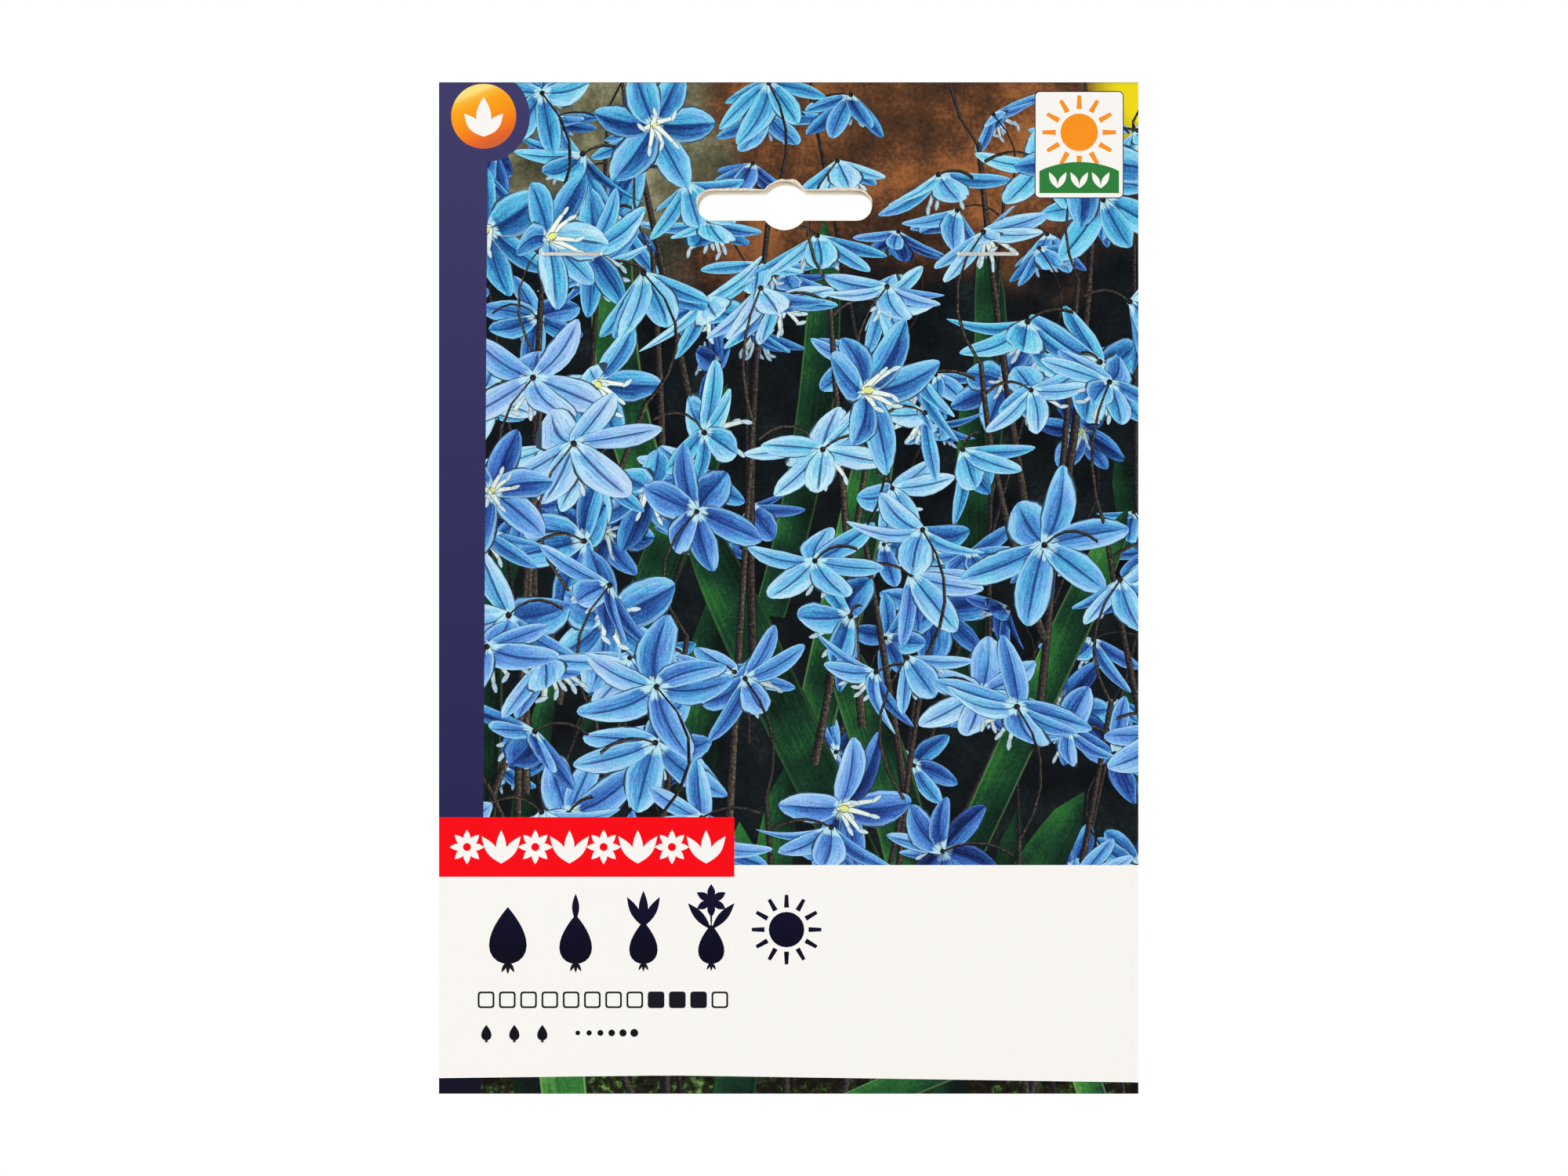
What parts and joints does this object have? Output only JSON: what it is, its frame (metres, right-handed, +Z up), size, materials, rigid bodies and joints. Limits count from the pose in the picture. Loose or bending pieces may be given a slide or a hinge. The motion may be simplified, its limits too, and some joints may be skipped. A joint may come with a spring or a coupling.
{
  "type": "hanging flower bulb packet",
  "caption": "Flat printed board card folded over at the top, with a hang slot and a stapled clear film bag of small flower bulbs behind it.",
  "frame": {"origin": "middle of the hang slot, on the front face of the card", "axes": "+X across the card to the right seen from the front, +Y from the card's front face to the bag behind it, +Z up"},
  "size_m": [0.13, 0.0238, 0.188],
  "materials": {
    "board": "glossy varnished print on the outside, bare greyish brown inside",
    "staple_wire": "bright zinc-coated wire",
    "film": "clear glossy polythene film",
    "bulb_skin": "dry papery purple-brown skin"
  },
  "bodies": {
    "root": {"card": "board", "bag": "film", "staple_left": "staple_wire", "staple_right": "staple_wire", "bulb_01": "bulb_skin", "bulb_02": "bulb_skin", "bulb_03": "bulb_skin", "bulb_04": "bulb_skin", "bulb_05": "bulb_skin", "bulb_06": "bulb_skin", "bulb_07": "bulb_skin", "bulb_08": "bulb_skin", "bulb_09": "bulb_skin", "bulb_10": "bulb_skin", "bulb_11": "bulb_skin", "bulb_12": "bulb_skin", "bulb_13": "bulb_skin", "bulb_14": "bulb_skin", "bulb_15": "bulb_skin"}
  },
  "joints": []
}
